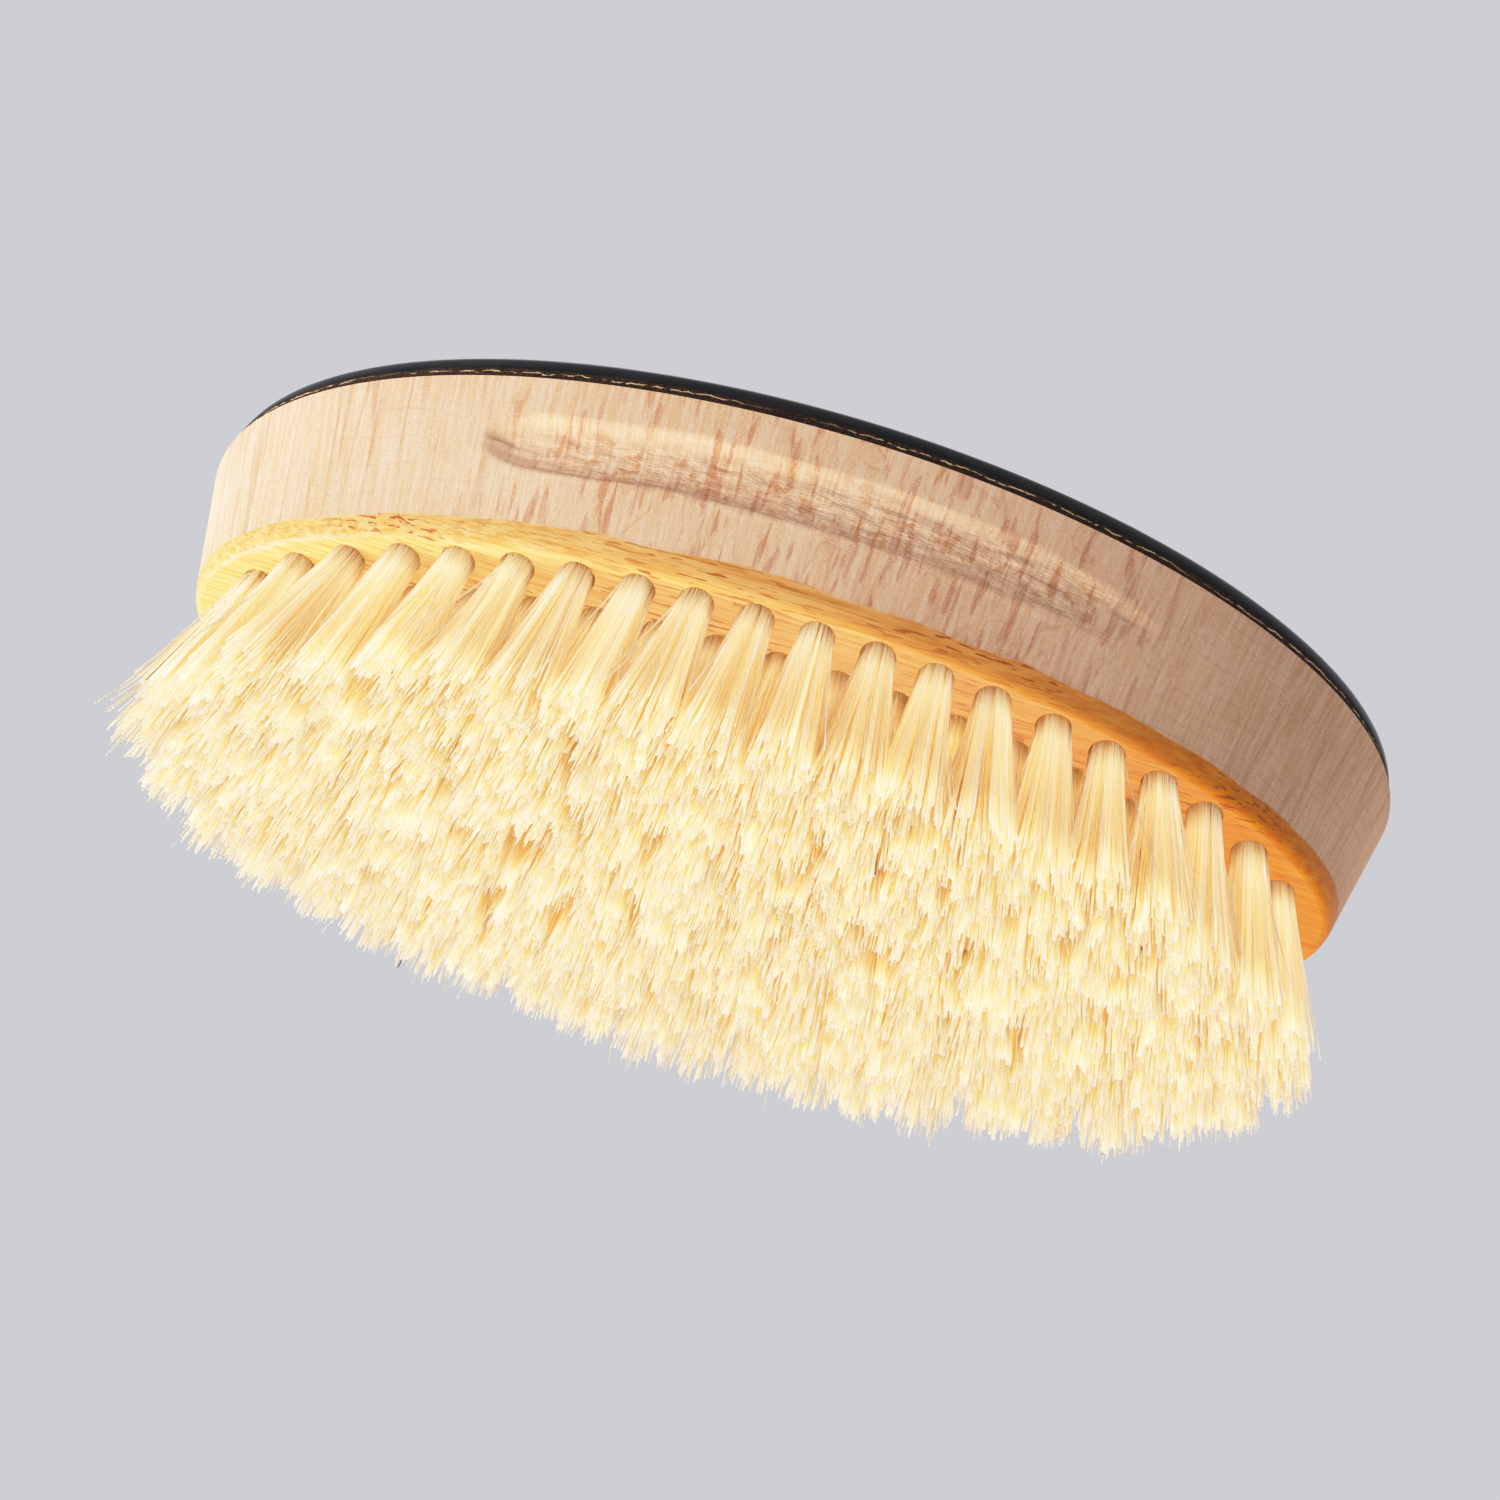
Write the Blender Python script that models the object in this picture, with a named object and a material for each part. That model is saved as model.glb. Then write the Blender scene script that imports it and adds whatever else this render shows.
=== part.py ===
"""Oval clothes brush, standing on its bristle tips with its back up.

The origin is on the plane of the bristle tips, under the middle of the brush. +X runs along the brush and
+Z points at its back. The rows of tufts follow the oval, and row 1 is the outer one.
"""

import math
import random

import bmesh
import bpy

MM = 0.001
GAP = 0.3 * MM  # between pieces that touch

# Outline: half length and half width of the oval.
TOP_HALF = (62.5 * MM, 28.3 * MM)  # at the back
FOOT_HALF = (57.25 * MM, 21.75 * MM)  # where the slanted side meets the rounded lower edge
OUTLINE_SIDES = 72

# Heights above the bristle tips.
UNDERSIDE_Z = 20.0 * MM
STOCK_TOP_Z = 37.0 * MM
SEAM_TOP_Z = 38.7 * MM
BACK_EDGE_Z = 40.0 * MM  # where the straight part of the polished edge ends
CROWN_Z = 44.0 * MM

# Rounded lower edge of the stock.
EDGE_HEIGHT = 2.5 * MM
EDGE_INSET = 1.6 * MM
EDGE_STEPS = 3

# Finger groove, one along each side.
GROOVE_Z = UNDERSIDE_Z + 10.4 * MM
GROOVE_HALF_WIDTH = 2.9 * MM
GROOVE_HALF_LENGTH = 32.3 * MM
GROOVE_DEPTH = 1.5 * MM
GROOVE_LEVELS = 6

# Back plate.
BACK_ROUND = 2.0 * MM
BACK_ROUND_STEPS = 3
CROWN_RINGS = (0.8, 0.5)

# Seam layer, hollowed underneath for the draw wires.
RECESS_INSET = 7.0 * MM
RECESS_Z = 38.0 * MM

# Tufts and their holes.
OUTER_ROW_HALF = (51.75 * MM, 18.4 * MM)
ROW_SPACING = 4.6 * MM
ROW_TUFTS = (42, 36, 32, 22)  # in each closed row, from the outer one inwards
ROW_RUNS = (6, 6, 4, 2)  # solids that each closed row is made in
CENTRE_TUFTS = 5
CENTRE_PITCH = 5.65 * MM
DRILL_WANDER = 0.25 * MM
HOLE_MOUTH_RADIUS = 1.65 * MM
HOLE_TOP_RADIUS = 0.8 * MM
TUFT_SIDES = 6
ROOT_Z = STOCK_TOP_Z - 2.2 * MM
MERGE_Z = 7.5 * MM  # where the spreading tufts of a row meet
MERGE_HALF_WIDTH = 1.9 * MM
TIP_HALF_WIDTH = 2.12 * MM
TIP_SPREAD = 1.07  # how far the rows open sideways between root and tip

# Draw wires.
WIRE_RADIUS = 0.2 * MM
WIRE_Z = STOCK_TOP_Z + 0.45 * MM
WIRE_DIP_Z = STOCK_TOP_Z - 1.4 * MM
WIRE_DIP_HALF_WIDTH = 0.35 * MM
WIRE_SIDES = 3


def clear_scene():
    for obj in list(bpy.data.objects):
        bpy.data.objects.remove(obj, do_unlink=True)


def material(name, colour, roughness, metallic=0.0, coat=0.0):
    made = bpy.data.materials.new(name)
    made.use_nodes = True
    shader = made.node_tree.nodes["Principled BSDF"]
    shader.inputs["Base Color"].default_value = (*colour, 1.0)
    shader.inputs["Roughness"].default_value = roughness
    shader.inputs["Metallic"].default_value = metallic
    shader.inputs["Coat Weight"].default_value = coat
    return made


def add_piece(name, bm, surface, sharp_angle=math.radians(35)):
    """The bmesh as one named object, with its faces turned outwards."""
    bmesh.ops.recalc_face_normals(bm, faces=bm.faces)
    if bm.calc_volume(signed=True) < 0:
        bmesh.ops.reverse_faces(bm, faces=bm.faces)
    mesh = bpy.data.meshes.new(name)
    bm.to_mesh(mesh)
    bm.free()
    mesh.shade_smooth()
    mesh.set_sharp_from_angle(angle=sharp_angle)
    obj = bpy.data.objects.new(name, mesh)
    obj.data.materials.append(surface)
    bpy.context.scene.collection.objects.link(obj)
    return obj


def oval(half, z, inset=0.0):
    """Points of an oval ring, pulled in by inset along its normal."""
    ring = []
    for i in range(OUTLINE_SIDES):
        angle = 2 * math.pi * i / OUTLINE_SIDES
        x = half[0] * math.cos(angle)
        y = half[1] * math.sin(angle)
        normal_x, normal_y = oval_normal(half, angle)
        ring.append((x - inset * normal_x, y - inset * normal_y, z))
    return ring


def oval_normal(half, angle):
    across = half[1] * math.cos(angle)
    along = half[0] * math.sin(angle)
    length = math.hypot(across, along)
    return across / length, along / length


def loft(rings, closed_ends=True, peak=None):
    """A skin through rings of points. Its ends are filled, and with a peak the last ring closes to that point."""
    bm = bmesh.new()
    levels = [[bm.verts.new(point) for point in ring] for ring in rings]
    for lower, upper in zip(levels, levels[1:]):
        count = len(lower)
        for i in range(count):
            j = (i + 1) % count
            bm.faces.new((lower[i], lower[j], upper[j], upper[i]))
    if closed_ends:
        bm.faces.new(levels[0])
    if peak:
        top = bm.verts.new(peak)
        for i, corner in enumerate(levels[-1]):
            bm.faces.new((corner, levels[-1][(i + 1) % len(levels[-1])], top))
    elif closed_ends:
        bm.faces.new(levels[-1])
    return bm


# ---- Stock ----


def side_half(z):
    """The oval's half sizes on the slanted side at height z."""
    foot_z = UNDERSIDE_Z + EDGE_HEIGHT
    share = (z - foot_z) / (STOCK_TOP_Z - foot_z)
    return tuple(low + share * (high - low) for low, high in zip(FOOT_HALF, TOP_HALF))


def groove_depth(x, z):
    """Depth of the finger groove: a round-bottomed slot with round ends."""
    past_end = max(0.0, abs(x) - (GROOVE_HALF_LENGTH - GROOVE_HALF_WIDTH))
    off_centre = math.hypot(past_end, z - GROOVE_Z) / GROOVE_HALF_WIDTH
    return GROOVE_DEPTH * max(0.0, 1.0 - off_centre**2)


def side_ring(z):
    ring = []
    half = side_half(z)
    for i, (x, y, _) in enumerate(oval(half, z)):
        normal_x, normal_y = oval_normal(half, 2 * math.pi * i / OUTLINE_SIDES)
        depth = groove_depth(x, z)
        ring.append((x - depth * normal_x, y - depth * normal_y, z))
    return ring


def lower_edge_rings():
    """The rounded lower edge, from the flat underside up to the slanted side."""
    rings = []
    for step in range(EDGE_STEPS):
        t = step / EDGE_STEPS
        inset = EDGE_INSET * (1 - t) ** 2 + EDGE_INSET * t * (1 - t)
        height = EDGE_HEIGHT * t**2
        rings.append(oval(FOOT_HALF, UNDERSIDE_Z + height, inset))
    return rings


def add_stock(surface, cutter):
    """The wooden body, with its finger grooves and with a tapered hole through it for each tuft."""
    heights = [UNDERSIDE_Z + EDGE_HEIGHT]
    for i in range(GROOVE_LEVELS):
        heights.append(GROOVE_Z + GROOVE_HALF_WIDTH * (2 * i / (GROOVE_LEVELS - 1) - 1))
    heights.append(STOCK_TOP_Z)
    rings = lower_edge_rings() + [side_ring(z) for z in heights]
    stock = add_piece("stock", loft(rings), surface)
    holes = stock.modifiers.new("tuft_holes", "BOOLEAN")
    holes.operation = "DIFFERENCE"
    holes.solver = "EXACT"
    holes.object = cutter
    return stock


# ---- Rows of tufts ----


class Row:
    """A closed line of tufts that runs a fixed distance inside the outer row.

    Places on it are given by their distance along it from the +X end, going over the +Y side.
    """

    SAMPLES = 720
    closed = True
    fullness = 1.0

    def __init__(self, number, tufts):
        self.number = number
        self.tufts = tufts
        self.points = self.half_line((number - 1) * ROW_SPACING)
        self.reached = [0.0]
        for (x0, y0, *_), (x1, y1, *_) in zip(self.points, self.points[1:]):
            self.reached.append(self.reached[-1] + math.hypot(x1 - x0, y1 - y0))
        self.half_length = self.reached[-1]
        self.pitch = 2 * self.half_length / tufts

    def half_line(self, inset):
        """(x, y, normal x, normal y) along the +Y half, from the +X end to the -X end."""
        points = []
        for i in range(self.SAMPLES + 1):
            angle = math.pi * i / self.SAMPLES
            normal_x, normal_y = oval_normal(OUTER_ROW_HALF, angle)
            x = OUTER_ROW_HALF[0] * math.cos(angle) - inset * normal_x
            y = OUTER_ROW_HALF[1] * math.sin(angle) - inset * normal_y
            if y > 0.01 * MM:
                points.append((x, y, normal_x, normal_y))
        start_x = points[0][0]
        end_x = points[-1][0]
        return [(start_x, 0.0, 1.0, 0.0), *points, (end_x, 0.0, -1.0, 0.0)]

    def place(self, distance):
        """(x, y, normal x, normal y) at this distance along the row."""
        distance %= 2 * self.half_length
        side = 1
        if distance > self.half_length:
            distance = 2 * self.half_length - distance
            side = -1
        last = len(self.reached) - 1
        i = next(k for k in range(1, last + 1) if self.reached[k] >= distance or k == last)
        span = self.reached[i] - self.reached[i - 1]
        share = (distance - self.reached[i - 1]) / span
        x, y, normal_x, normal_y = (
            low + share * (high - low) for low, high in zip(self.points[i - 1], self.points[i])
        )
        length = math.hypot(normal_x, normal_y)
        return x, side * y, normal_x / length, side * normal_y / length


class CentreRow:
    """The short straight line of tufts along the middle."""

    number = len(ROW_TUFTS) + 1
    closed = False
    fullness = 0.65  # it stands closer to its neighbours
    tufts = CENTRE_TUFTS
    pitch = CENTRE_PITCH

    def place(self, distance):
        """(x, y, normal x, normal y) at this distance from the row's first tuft, which is its +X one."""
        return (CENTRE_TUFTS - 1) / 2 * CENTRE_PITCH - distance, 0.0, 0.0, 1.0


def rows():
    return [Row(i + 1, tufts) for i, tufts in enumerate(ROW_TUFTS)] + [CentreRow()]


def tuft_distances(row):
    """Where each tuft of the row was drilled, along the row. A hand drill wanders a little."""
    wander = random.Random(row.number)
    return [i * row.pitch + wander.uniform(-DRILL_WANDER, DRILL_WANDER) for i in range(row.tufts)]


def hexagon(place, radius):
    """Corners round a tuft's centre, with flat sides facing its neighbours in the row."""
    x, y, normal_x, normal_y = place
    corners = []
    for i in range(TUFT_SIDES):
        angle = math.pi / 6 - 2 * math.pi * i / TUFT_SIDES
        along = radius * math.cos(angle)
        out = radius * math.sin(angle)
        corners.append((x - along * normal_y + out * normal_x, y + along * normal_x + out * normal_y))
    return corners


def add_hole_cutter(all_rows):
    """One tapered cutter for each tuft, all in one hidden object."""
    bm = bmesh.new()
    overrun = 1 * MM
    taper = (HOLE_MOUTH_RADIUS - HOLE_TOP_RADIUS) / (STOCK_TOP_Z - UNDERSIDE_Z)
    ends = (
        (UNDERSIDE_Z - overrun, HOLE_MOUTH_RADIUS + overrun * taper),
        (STOCK_TOP_Z + overrun, HOLE_TOP_RADIUS - overrun * taper),
    )
    for row in all_rows:
        for distance in tuft_distances(row):
            place = row.place(distance)
            low, high = (
                [bm.verts.new((x, y, z)) for x, y in hexagon(place, radius)] for z, radius in ends
            )
            bm.faces.new(low)
            bm.faces.new(high)
            for i in range(TUFT_SIDES):
                j = (i + 1) % TUFT_SIDES
                bm.faces.new((low[i], low[j], high[j], high[i]))
    cutter = add_piece("hole_cutter", bm, None)
    cutter.hide_render = True
    cutter.display_type = "WIRE"
    return cutter


def hole_radius(z):
    share = (z - UNDERSIDE_Z) / (STOCK_TOP_Z - UNDERSIDE_Z)
    return HOLE_MOUTH_RADIUS + share * (HOLE_TOP_RADIUS - HOLE_MOUTH_RADIUS)


def spread_pair(place, half_width, z):
    """The outer and inner point of a row's bristle wall at this place, kept off the wall across the middle."""
    x, y, normal_x, normal_y = place
    inward = half_width
    if abs(normal_y) > 1e-6 and abs(y) > 1e-6:
        inward = min(half_width, max(0.0, abs(y) - GAP) / abs(normal_y))
    spread = 1 + (TIP_SPREAD - 1) * (UNDERSIDE_Z - z) / UNDERSIDE_Z
    outer = (x + half_width * normal_x, (y + half_width * normal_y) * spread, z)
    inner = (x - inward * normal_x, (y - inward * normal_y) * spread, z)
    return outer, inner


def add_tuft_run(name, row, first, count, surface):
    """Neighbouring tufts of one row as one solid: a root in each hole, and a common wall of bristle tips."""
    bm = bmesh.new()
    distances = tuft_distances(row)
    borders = [(first + i - 0.5) * row.pitch for i in range(count + 1)]
    borders[0] += GAP / 2
    borders[-1] -= GAP / 2
    walls = []
    for z, full_width in ((MERGE_Z, MERGE_HALF_WIDTH), (0.0, TIP_HALF_WIDTH)):
        half_width = full_width * row.fullness
        between = [spread_pair(row.place(border), half_width, z) for border in borders]
        middle = [
            spread_pair(row.place(distances[(first + i) % row.tufts]), half_width, z) for i in range(count)
        ]
        walls.append(
            (
                [[bm.verts.new(point) for point in pair] for pair in between],
                [[bm.verts.new(point) for point in pair] for pair in middle],
            )
        )
    merge, tip = walls

    def cell(wall, i):
        between, middle = wall
        (next_out, next_in), (last_out, last_in) = between[i + 1], between[i]
        middle_out, middle_in = middle[i]
        return [next_out, next_in, middle_in, last_in, last_out, middle_out]

    for i in range(count):
        place = row.place(distances[(first + i) % row.tufts])
        root, mouth = (
            [bm.verts.new((x, y, z)) for x, y in hexagon(place, hole_radius(z) - GAP)]
            for z in (ROOT_Z, UNDERSIDE_Z)
        )
        upper = cell(merge, i)
        lower = cell(tip, i)
        bm.faces.new(root)
        bm.faces.new(lower)
        for j in range(TUFT_SIDES):
            k = (j + 1) % TUFT_SIDES
            bm.faces.new((root[j], root[k], mouth[k], mouth[j]))
            bm.faces.new((mouth[j], mouth[k], upper[k], upper[j]))
            faces_next = j == 0 and i < count - 1
            faces_last = j == 3 and i > 0
            if not (faces_next or faces_last):
                bm.faces.new((upper[j], upper[k], lower[k], lower[j]))
    return add_piece(name, bm, surface)


def add_tufts(all_rows, surface):
    for row, runs in zip(all_rows, ROW_RUNS + (1,)):
        count = row.tufts // runs
        for run in range(runs):
            # The first run of a closed row is centred on the +X end.
            first = run * count - (count // 2 if runs > 1 else 0)
            add_tuft_run(f"tufts_row{row.number}_run{run + 1}", row, first, count, surface)


# ---- Draw wires ----


def wire_path(row):
    """Along the top of the stock from tuft to tuft, with a dip into each hole."""
    path = []
    for distance in tuft_distances(row):
        x, y, normal_x, normal_y = row.place(distance)
        for step, z in ((-1, WIRE_Z), (0, WIRE_DIP_Z), (1, WIRE_Z)):
            along = step * WIRE_DIP_HALF_WIDTH
            path.append((x - along * normal_y, y + along * normal_x, z))
    return path


def wire_section(before, point, after):
    """The wire's outline at a point of its path, square to the path as seen from above."""
    run_x = after[0] - before[0]
    run_y = after[1] - before[1]
    length = math.hypot(run_x, run_y)
    section = []
    for i in range(WIRE_SIDES):
        angle = math.pi / 2 + 2 * math.pi * i / WIRE_SIDES
        out = WIRE_RADIUS * math.cos(angle) / length
        up = WIRE_RADIUS * math.sin(angle)
        section.append((point[0] + out * run_y, point[1] - out * run_x, point[2] + up))
    return section


def add_draw_wire(row, surface):
    """The wire that holds the tufts of one row in their holes."""
    path = wire_path(row)
    if row.closed:
        path = [path[-1], *path, path[0]]
    else:
        path = [path[0], *path, path[-1]]
    sections = [wire_section(*path[i - 1 : i + 2]) for i in range(1, len(path) - 1)]
    bm = loft(sections, closed_ends=not row.closed)
    if row.closed:
        bm.verts.ensure_lookup_table()
        for i in range(WIRE_SIDES):
            j = (i + 1) % WIRE_SIDES
            bm.faces.new((bm.verts[i - WIRE_SIDES], bm.verts[j - WIRE_SIDES], bm.verts[j], bm.verts[i]))
    return add_piece(f"draw_wire_row{row.number}", bm, surface)


# ---- Seam layer and back ----


def add_seam_layer(surface):
    """The thin layer between stock and back, hollowed underneath so that the wires have room."""
    recess_half = tuple(half - RECESS_INSET for half in TOP_HALF)
    foot_z = STOCK_TOP_Z + GAP
    rings = [
        oval(recess_half, RECESS_Z),
        oval(recess_half, foot_z),
        oval(TOP_HALF, foot_z),
        oval(TOP_HALF, SEAM_TOP_Z),
    ]
    return add_piece("seam_layer", loft(rings), surface)


def add_back_plate(surface):
    """The glossy back: a straight edge, rounded over into a low crown."""
    rings = [oval(TOP_HALF, SEAM_TOP_Z + GAP)]
    for step in range(BACK_ROUND_STEPS + 1):
        angle = math.pi / 2 * step / BACK_ROUND_STEPS
        inset = BACK_ROUND * (1 - math.cos(angle))
        rings.append(oval(TOP_HALF, BACK_EDGE_Z + BACK_ROUND * math.sin(angle), inset))
    shoulder_z = BACK_EDGE_Z + BACK_ROUND
    shoulder_half = tuple(half - BACK_ROUND for half in TOP_HALF)
    for share in CROWN_RINGS:
        z = CROWN_Z - (CROWN_Z - shoulder_z) * share**2
        rings.append(oval(tuple(half * share for half in shoulder_half), z))
    return add_piece("back_plate", loft(rings, peak=(0.0, 0.0, CROWN_Z)), surface)


def main():
    clear_scene()
    beech = material("beech", (0.72, 0.50, 0.33), 0.6)
    seam = material("rough_seam", (0.055, 0.032, 0.018), 0.9)
    horn = material("black_horn", (0.008, 0.008, 0.009), 0.12, coat=0.6)
    bristle = material("bristle", (0.86, 0.74, 0.47), 0.45)
    wire = material("brass_wire", (0.75, 0.55, 0.25), 0.3, metallic=1.0)
    all_rows = rows()
    add_stock(beech, add_hole_cutter(all_rows))
    add_seam_layer(seam)
    add_back_plate(horn)
    add_tufts(all_rows, bristle)
    for row in all_rows:
        add_draw_wire(row, wire)


main()
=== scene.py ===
"""Looks of the oval clothes brush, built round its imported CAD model.

The brush stands on its bristle tips: +X runs along it and +Z points at its back. The camera looks up at the
bristle side from in front, as in the reference view.
"""

import math

import bmesh
import bpy
import numpy as np
from mathutils import Matrix, Vector, noise
from mathutils.geometry import delaunay_2d_cdt


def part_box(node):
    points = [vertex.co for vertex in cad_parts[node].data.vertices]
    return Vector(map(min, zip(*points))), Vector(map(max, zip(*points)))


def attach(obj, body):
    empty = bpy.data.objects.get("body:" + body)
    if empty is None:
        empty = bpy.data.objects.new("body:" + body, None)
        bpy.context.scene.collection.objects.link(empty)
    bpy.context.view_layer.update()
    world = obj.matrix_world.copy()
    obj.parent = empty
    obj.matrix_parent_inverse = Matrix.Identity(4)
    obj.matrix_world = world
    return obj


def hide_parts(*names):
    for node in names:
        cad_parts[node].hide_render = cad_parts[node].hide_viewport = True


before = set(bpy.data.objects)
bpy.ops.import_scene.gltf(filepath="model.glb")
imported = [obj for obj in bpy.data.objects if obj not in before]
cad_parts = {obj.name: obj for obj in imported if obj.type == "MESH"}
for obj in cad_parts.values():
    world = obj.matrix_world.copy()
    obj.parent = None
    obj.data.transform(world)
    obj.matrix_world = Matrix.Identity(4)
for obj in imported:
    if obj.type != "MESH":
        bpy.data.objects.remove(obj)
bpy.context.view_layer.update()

MM = 0.001
BODY = "root"
RANDOM_SEED = 20

# ---- Sizes, from the frame ----

STOCK_LOW, STOCK_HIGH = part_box("stock")
SEAM_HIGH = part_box("seam_layer")[1]
BACK_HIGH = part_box("back_plate")[1]
UNDERSIDE_Z = STOCK_LOW.z
STOCK_TOP_Z = STOCK_HIGH.z
SEAM_TOP_Z = SEAM_HIGH.z
CROWN_Z = BACK_HIGH.z
TOP_HALF = (STOCK_HIGH.x, STOCK_HIGH.y)

# Stock: its outline, its holes and the place of its finger grooves are the CAD model's.
FOOT_HALF = (57.25 * MM, 21.75 * MM)
EDGE_HEIGHT = 2.5 * MM
EDGE_INSET = 1.6 * MM
GROOVE_Z = UNDERSIDE_Z + 10.4 * MM
GROOVE_HALF_WIDTH = 2.9 * MM
GROOVE_HALF_LENGTH = 32.3 * MM
GROOVE_DEPTH = 1.15 * MM
GROOVE_FADED_SHARE = 0.4  # of that depth, toward +X
GROOVE_FULL_TO = -0.6  # share of the half length up to which it has its full depth
GROOVE_RUN_OUT = 6.0 * MM  # length of the slope at the -X end
GROOVE_FADE_OUT = 20.0 * MM  # and at the +X end
GROOVE_UPPER_SHARPNESS = 4.0
GROOVE_LOWER_SHARPNESS = 2.0
GROOVE_WANDER = 0.25 * MM
GROOVE_WANDER_LENGTH = 9 * MM
GROOVE_TEARS = 0.22 * MM
GROOVE_TEAR_SIZE = (1.6 * MM, 0.5 * MM)
HOLE_MOUTH_RADIUS = 1.65 * MM
HOLE_RIM = 0.08 * MM  # how much narrower a hole is just inside its mouth
HOLE_RIM_DEPTH = 0.12 * MM
HOLE_TOP_RADIUS = 0.8 * MM

# How the tops of the CAD model's tufts are told apart.
TUFT_TOP_REACH = 1.5 * MM
TUFT_TOP_SLACK = 0.1 * MM

# How finely the wooden and the polished pieces are made.
OUTLINE_SIDES = 480
SIDE_LEVELS = 58
EDGE_STEPS = 8
HOLE_SIDES = 24

# Seam layer and back plate.
SEAM_RECESS_INSET = 7.0 * MM
SEAM_RECESS_HEIGHT = 1.0 * MM
SEAM_INSET = 0.1 * MM
SEAM_LEVELS = 12
SEAM_ROUGHNESS = 0.09 * MM
SEAM_GRAIN = 0.45 * MM
SEAM_LUMP = 1.6 * MM
SEAM_LUMP_SHARE = 0.6
BACK_FOOT = ((0.0, 0.12 * MM), (0.25 * MM, 0.02 * MM))  # height above the seam and inset, for each ring
BACK_EDGE_Z = SEAM_TOP_Z + 1.2 * MM
BACK_ROUND = 2.1 * MM
BACK_STEPS = 14
CROWN_STEPS = 24

# Bristles.
BRISTLES_PER_TUFT = 180
BRISTLE_SIDES = 4
BRISTLE_RADIUS = 0.092 * MM
BUNDLE_RADIUS = 1.58 * MM
ROOT_BUNDLE_RADIUS = 0.75 * MM
ROOT_DEPTH = 3 * MM  # of the folded ends below the top of the stock
FLARE = 2.0
FLARE_RANGE = (0.85, 1.1)
SIDEWAYS_SPREAD = 1.07
SECTION_SHARES = (0.18, 0.45, 0.75, 1.0)  # where along its free length a bristle has sections
SECTION_TAPER = (1.0, 1.0, 1.0, 0.95, 0.88, 0.78)  # thickness at the root, the mouth and each of those
THICKNESS_RANGE = (0.75, 1.15)
OPENING_CURVE = 1.15
TUFT_LEAN = 0.3 * MM
TIP_SCATTER = 0.14 * MM
STRAY_SCATTER = 1.3 * MM
BEND = 0.06 * MM
UNEVEN_CUT = 0.55 * MM
SHORT_BRISTLES = 0.35 * MM
MOST_SHORT = 6 * MM
UNEVEN_TUFTS = 0.5 * MM
STRAY_SHARE = 0.09
DARK_SHARE = 0.0004
DARK_TONE = 2.0  # all other bristles have a tone from 0 to 1
TURN_BY_TONE = 7.0  # radians


# ---- Mesh helpers ----


def add_mesh(name, verts, faces, sharp_angle=math.radians(40)):
    mesh = bpy.data.meshes.new(name)
    mesh.from_pydata(verts, [], faces)
    mesh.update()
    mesh.shade_smooth()
    mesh.set_sharp_from_angle(angle=sharp_angle)
    obj = bpy.data.objects.new(name, mesh)
    bpy.context.scene.collection.objects.link(obj)
    return obj


def add_piece(obj, slot, surface, *nodes):
    """Gives a finished piece its material and its place on the frame, and hides the CAD nodes that it
    stands for.
    """
    obj.data.materials.append(surface)
    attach(obj, BODY)
    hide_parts(*nodes)
    return obj


def turn_faces_out(obj):
    bm = bmesh.new()
    bm.from_mesh(obj.data)
    bmesh.ops.recalc_face_normals(bm, faces=bm.faces)
    if bm.calc_volume(signed=True) < 0:
        bmesh.ops.reverse_faces(bm, faces=bm.faces)
    bm.to_mesh(obj.data)
    bm.free()


def outline_angle(i):
    return 2 * math.pi * i / OUTLINE_SIDES


def oval_normal(half, angle):
    across = half[1] * math.cos(angle)
    along = half[0] * math.sin(angle)
    length = math.hypot(across, along)
    return across / length, along / length


def oval(half, z, inset=0.0):
    """Points of an oval ring, pulled in by inset along its normal."""
    ring = []
    for i in range(OUTLINE_SIDES):
        angle = outline_angle(i)
        normal_x, normal_y = oval_normal(half, angle)
        x = half[0] * math.cos(angle) - inset * normal_x
        y = half[1] * math.sin(angle) - inset * normal_y
        ring.append((x, y, z))
    return ring


def rough_oval(half, z, inset, push):
    """An oval ring whose points move out along its normal by push(x, y, z)."""
    ring = []
    for i, (x, y, _) in enumerate(oval(half, z, inset)):
        normal_x, normal_y = oval_normal(half, outline_angle(i))
        out = push(x, y, z)
        ring.append((x + out * normal_x, y + out * normal_y, z))
    return ring


def skin(rings):
    """Vertices and side faces through rings of equal length."""
    verts = [point for ring in rings for point in ring]
    count = len(rings[0])
    faces = []
    for level in range(len(rings) - 1):
        for i in range(count):
            j = (i + 1) % count
            base = level * count
            faces.append((base + i, base + j, base + count + j, base + count + i))
    return verts, faces


# ---- Stock ----


def tuft_places():
    """Where each tuft of a run leaves the underside, read from the tops of the CAD model's tufts."""
    runs = {}
    for name, obj in sorted(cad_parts.items()):
        if not name.startswith("tufts_row"):
            continue
        top_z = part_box(name)[1].z
        groups = []
        for co in (v.co for v in obj.data.vertices if v.co.z > top_z - TUFT_TOP_SLACK):
            near = [g for g in groups if (g[0].xy - co.xy).length < TUFT_TOP_REACH]
            if near:
                near[0].append(co.copy())
            else:
                groups.append([co.copy()])
        for group in groups:
            unique = {(round(co.x, 6), round(co.y, 6)) for co in group}
            x = sum(p[0] for p in unique) / len(unique)
            y = sum(p[1] for p in unique) / len(unique)
            runs.setdefault(name, []).append((x, y))
    return runs


def side_half(z):
    """The oval's half sizes on the slanted side at height z."""
    foot_z = UNDERSIDE_Z + EDGE_HEIGHT
    share = (z - foot_z) / (STOCK_TOP_Z - foot_z)
    return tuple(low + share * (high - low) for low, high in zip(FOOT_HALF, TOP_HALF))


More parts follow.
